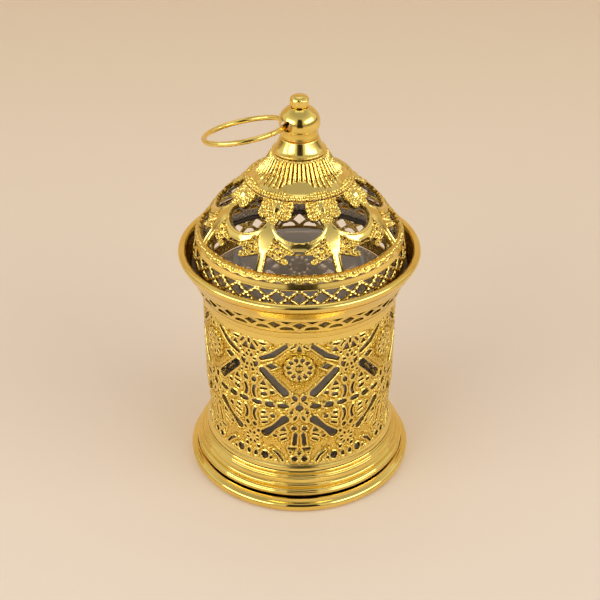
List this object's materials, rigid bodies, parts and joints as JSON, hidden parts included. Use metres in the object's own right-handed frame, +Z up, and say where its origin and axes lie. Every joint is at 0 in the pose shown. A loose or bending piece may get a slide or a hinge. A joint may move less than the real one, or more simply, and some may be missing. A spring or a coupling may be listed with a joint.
{
  "type": "cutwork metal lantern",
  "caption": "Gold-coloured metal candle lantern with a pierced drum, flared rim, lift-off pierced dome lid, finial with a swinging carry ring, and a tall glass candle cup inside.",
  "frame": {"origin": "centre of the flat underside of the base tray, on the lantern's axis", "axes": "+Z up along the lantern's axis; -Y is the side that faces the picture's camera; the ring hangs towards -X"},
  "size_m": [0.0944, 0.095, 0.1602],
  "materials": {
    "polished_gold": "polished, mirror-like, gold coloured",
    "satin_gold": "satin gold, chased between the cut-outs",
    "inner_steel": "plain grey metal inside",
    "clear_glass": "clear, smooth"
  },
  "bodies": {
    "base": {"base_tray": "polished_gold", "foot_moulding": "polished_gold", "candle_plate": "inner_steel", "cutwork_drum": "satin_gold", "neck_ring": "polished_gold", "rim_lip": "polished_gold", "lid_ledge": "inner_steel"},
    "lid": {"lid_skirt": "polished_gold", "beaded_gallery": "polished_gold", "dome": "polished_gold", "crown_cap": "polished_gold", "finial_collar": "polished_gold", "finial_band": "polished_gold", "finial_ball": "polished_gold", "finial_knob": "polished_gold", "finial_stud": "inner_steel", "finial_washer": "inner_steel", "finial_nut": "inner_steel"},
    "cup": {"glass_cup": "clear_glass"},
    "ring": {"carry_ring": "polished_gold"}
  },
  "joints": [
    {"name": "lid_lift", "type": "slide", "parent": "base", "child": "lid", "axis": [0, 0, 1], "range_m": [0, 0.15]},
    {"name": "ring_swing", "type": "hinge", "parent": "lid", "child": "ring", "pos_m": [-0.00515, 0, 0.1489], "axis": [0, 0.9877, -0.1564], "range_deg": [0, 155]},
    {"name": "cup_lift", "type": "slide", "parent": "base", "child": "cup", "axis": [0, 0, 1], "range_m": [0, 0.025]}
  ]
}
